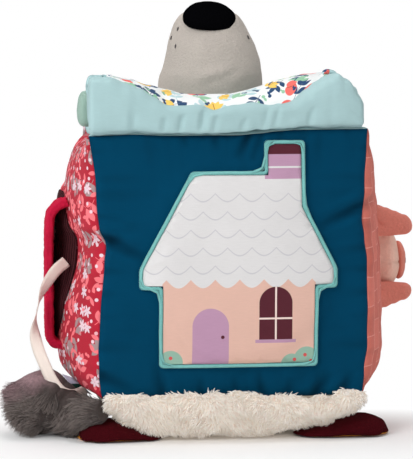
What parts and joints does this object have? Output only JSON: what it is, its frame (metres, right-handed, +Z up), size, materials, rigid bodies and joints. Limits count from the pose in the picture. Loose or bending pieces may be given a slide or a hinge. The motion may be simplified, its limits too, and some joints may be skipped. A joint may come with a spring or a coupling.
{
  "type": "soft fabric activity block",
  "caption": "Stuffed fabric cube for a baby, with a blanket roll and an animal muzzle on top, a small pig, a loop, a ribbon, feet and a tail.",
  "frame": {"origin": "on the floor under the middle of the block, at the flat patch of its underside", "axes": "+Z up, -Y the picture side, -X the side with the loop, ribbon and tail"},
  "size_m": [0.29, 0.1975, 0.2925],
  "materials": {
    "foam": "matte",
    "teal_cotton": "matte",
    "red_print_cotton": "matte",
    "brick_print_cotton": "matte",
    "pale_blue_cotton": "matte",
    "cream_cotton": "matte",
    "white_print_cotton": "matte",
    "sage_cotton": "matte",
    "grey_velour": "matte",
    "black_velour": "matte",
    "picture_cotton": "matte",
    "turquoise_thread": "matte",
    "cream_plush": "matte",
    "burgundy_velour": "matte",
    "orange_velour": "matte",
    "crimson_velour": "matte",
    "dark_rib": "matte",
    "cream_satin": "matte",
    "lilac_tape": "matte",
    "grey_plush": "matte",
    "pink_velour": "matte",
    "coral_velour": "matte"
  },
  "bodies": {
    "block": {"back_panel": "teal_cotton", "blanket_lining": "sage_cotton", "bottom_panel": "cream_cotton", "foam_core": "foam", "front_panel": "teal_cotton", "head_pad": "grey_velour", "left_foot": "burgundy_velour", "left_panel": "red_print_cotton", "left_sole": "orange_velour", "muzzle": "grey_velour", "nose": "black_velour", "picture": "picture_cotton", "picture_border": "turquoise_thread", "pig_head": "pink_velour", "pig_snout": "coral_velour", "plush_strip": "cream_plush", "right_foot": "burgundy_velour", "right_panel": "brick_print_cotton", "right_sole": "orange_velour", "seam_tag": "lilac_tape", "side_loop": "crimson_velour", "side_patch": "dark_rib", "tie_ribbon": "cream_satin", "top_panel": "pale_blue_cotton"},
    "blanket": {"blanket_roll": "pale_blue_cotton", "blanket_print": "white_print_cotton"},
    "tail": {"tail": "grey_plush"},
    "pig_ear_upper": {"pig_ear_upper": "coral_velour"},
    "pig_ear_lower": {"pig_ear_lower": "coral_velour"}
  },
  "joints": [
    {"name": "blanket_fold", "type": "hinge", "parent": "block", "child": "blanket", "pos_m": [0, -0.0935, 0.207], "axis": [1, 0, 0], "range_deg": [0, 100]},
    {"name": "tail_swing", "type": "hinge", "parent": "block", "child": "tail", "pos_m": [-0.0955, -0.046, 0.02], "axis": [0, 0, 1], "range_deg": [-30, 0], "stiffness_Nm_per_rad": 0.01},
    {"name": "ear_upper_flop", "type": "hinge", "parent": "block", "child": "pig_ear_upper", "pos_m": [0.1123, -0.0165, 0.1415], "axis": [0, 0, 1], "range_deg": [-30, 12], "stiffness_Nm_per_rad": 0.002},
    {"name": "ear_lower_flop", "type": "hinge", "parent": "block", "child": "pig_ear_lower", "pos_m": [0.114, -0.0165, 0.0845], "axis": [0, 0, 1], "range_deg": [-30, 12], "stiffness_Nm_per_rad": 0.002}
  ]
}
